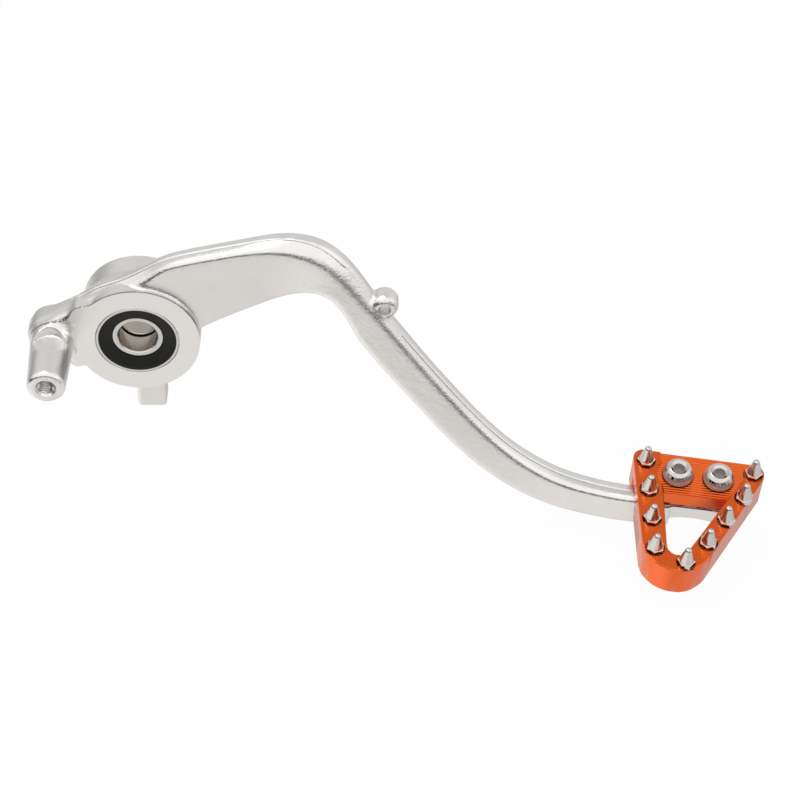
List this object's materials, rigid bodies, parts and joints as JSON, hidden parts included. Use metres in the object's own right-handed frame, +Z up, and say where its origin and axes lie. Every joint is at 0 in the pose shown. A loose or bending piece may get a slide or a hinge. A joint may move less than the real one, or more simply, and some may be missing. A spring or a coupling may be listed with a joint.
{
  "type": "motorbike rear brake pedal",
  "caption": "Forged rear brake pedal lever on sealed pivot bearings, with a bolted billet tread plate and screw-in grip studs.",
  "frame": {"origin": "on the pivot axis, in the forging's parting plane, inside the hub", "axes": "+X along the lever from the pivot to the tread, +Y along the pivot axis from the boot side to the frame side, +Z up"},
  "size_m": [0.2838, 0.0872, 0.1191],
  "materials": {
    "lever_alloy": "forged and tumbled bright alloy, eye face machined",
    "orange_anodised": "orange anodised billet aluminium with fine milling lines",
    "stainless": "turned stainless steel",
    "bearing_steel": "ground bearing steel",
    "cage_brass": "pressed cage",
    "seal_rubber": "satin black nitrile"
  },
  "bodies": {
    "lever": {"lever_forging": "lever_alloy", "front_bearing_outer_ring": "bearing_steel", "front_bearing_outer_seal": "seal_rubber", "front_bearing_inner_seal": "seal_rubber", "rear_bearing_outer_ring": "bearing_steel", "rear_bearing_outer_seal": "seal_rubber", "rear_bearing_inner_seal": "seal_rubber", "front_dust_seal": "seal_rubber", "front_seal_case": "bearing_steel", "rear_dust_seal": "seal_rubber", "rear_seal_case": "bearing_steel", "tread_plate": "orange_anodised", "tread_screws": "stainless", "grip_stud_1": "stainless", "grip_stud_2": "stainless", "grip_stud_3": "stainless", "grip_stud_4": "stainless", "grip_stud_5": "stainless", "grip_stud_6": "stainless", "grip_stud_7": "stainless", "grip_stud_8": "stainless", "grip_stud_9": "stainless"},
    "pivot_sleeve": {"front_bearing_inner_ring": "bearing_steel", "rear_bearing_inner_ring": "bearing_steel", "distance_ring": "bearing_steel"},
    "front_ball_set": {"front_bearing_balls": "bearing_steel", "front_bearing_cage": "cage_brass"},
    "rear_ball_set": {"rear_bearing_balls": "bearing_steel", "rear_bearing_cage": "cage_brass"}
  },
  "joints": [
    {"name": "pivot_spin", "type": "hinge", "parent": "lever", "child": "pivot_sleeve", "pos_m": [0, 0, 0], "axis": [0, 1, 0], "continuous": true},
    {"name": "front_balls_spin", "type": "hinge", "parent": "lever", "child": "front_ball_set", "pos_m": [0, 0, 0], "axis": [0, 1, 0], "continuous": true},
    {"name": "rear_balls_spin", "type": "hinge", "parent": "lever", "child": "rear_ball_set", "pos_m": [0, 0, 0], "axis": [0, 1, 0], "continuous": true}
  ],
  "couplings": [
    {"joint": "front_balls_spin", "follows": "pivot_spin", "ratio": 0.3987},
    {"joint": "rear_balls_spin", "follows": "pivot_spin", "ratio": 0.3987}
  ]
}
